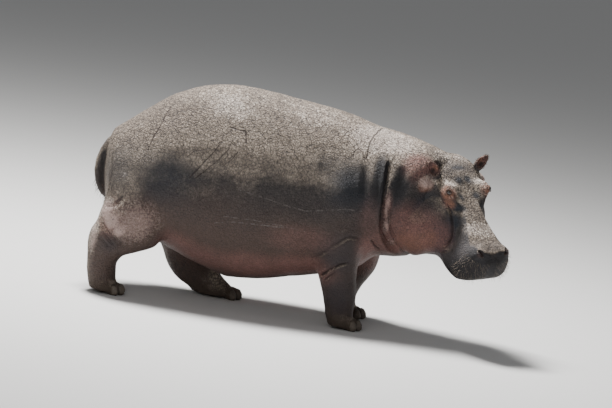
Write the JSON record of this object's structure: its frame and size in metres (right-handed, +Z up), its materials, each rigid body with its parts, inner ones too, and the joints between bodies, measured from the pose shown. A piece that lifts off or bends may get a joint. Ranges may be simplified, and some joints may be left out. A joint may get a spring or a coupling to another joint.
{
  "type": "hippopotamus",
  "caption": "Life-size still model of a hippopotamus walking on level ground, head lowered and turned to its right, mouth closed.",
  "frame": {"origin": "on the floor, under the middle of the whole model's box", "axes": "+X towards the head end of the trunk, +Y to the animal's left, +Z up; the head is turned towards -Y"},
  "size_m": [2.8542, 1.1562, 1.5028],
  "materials": {
    "hide": "bare wrinkled hide, satin where the light rakes it",
    "horn": "dull worn horn",
    "wet_eye": "wet and glossy"
  },
  "bodies": {
    "root": {"trunk": "hide", "neck": "hide", "head": "hide", "lower_jaw": "hide", "ear_right": "hide", "ear_left": "hide", "tail": "hide", "leg_hind_right": "hide", "leg_hind_left": "hide", "leg_front_right": "hide", "leg_front_left": "hide", "foot_hind_right": "hide", "foot_hind_left": "hide", "foot_front_right": "hide", "foot_front_left": "hide", "nail_hind_right_1": "horn", "nail_hind_right_2": "horn", "nail_hind_right_3": "horn", "nail_hind_right_4": "horn", "nail_hind_left_1": "horn", "nail_hind_left_2": "horn", "nail_hind_left_3": "horn", "nail_hind_left_4": "horn", "nail_front_right_1": "horn", "nail_front_right_2": "horn", "nail_front_right_3": "horn", "nail_front_right_4": "horn", "nail_front_left_1": "horn", "nail_front_left_2": "horn", "nail_front_left_3": "horn", "nail_front_left_4": "horn", "eye_right": "wet_eye", "eye_left": "wet_eye"}
  },
  "joints": []
}
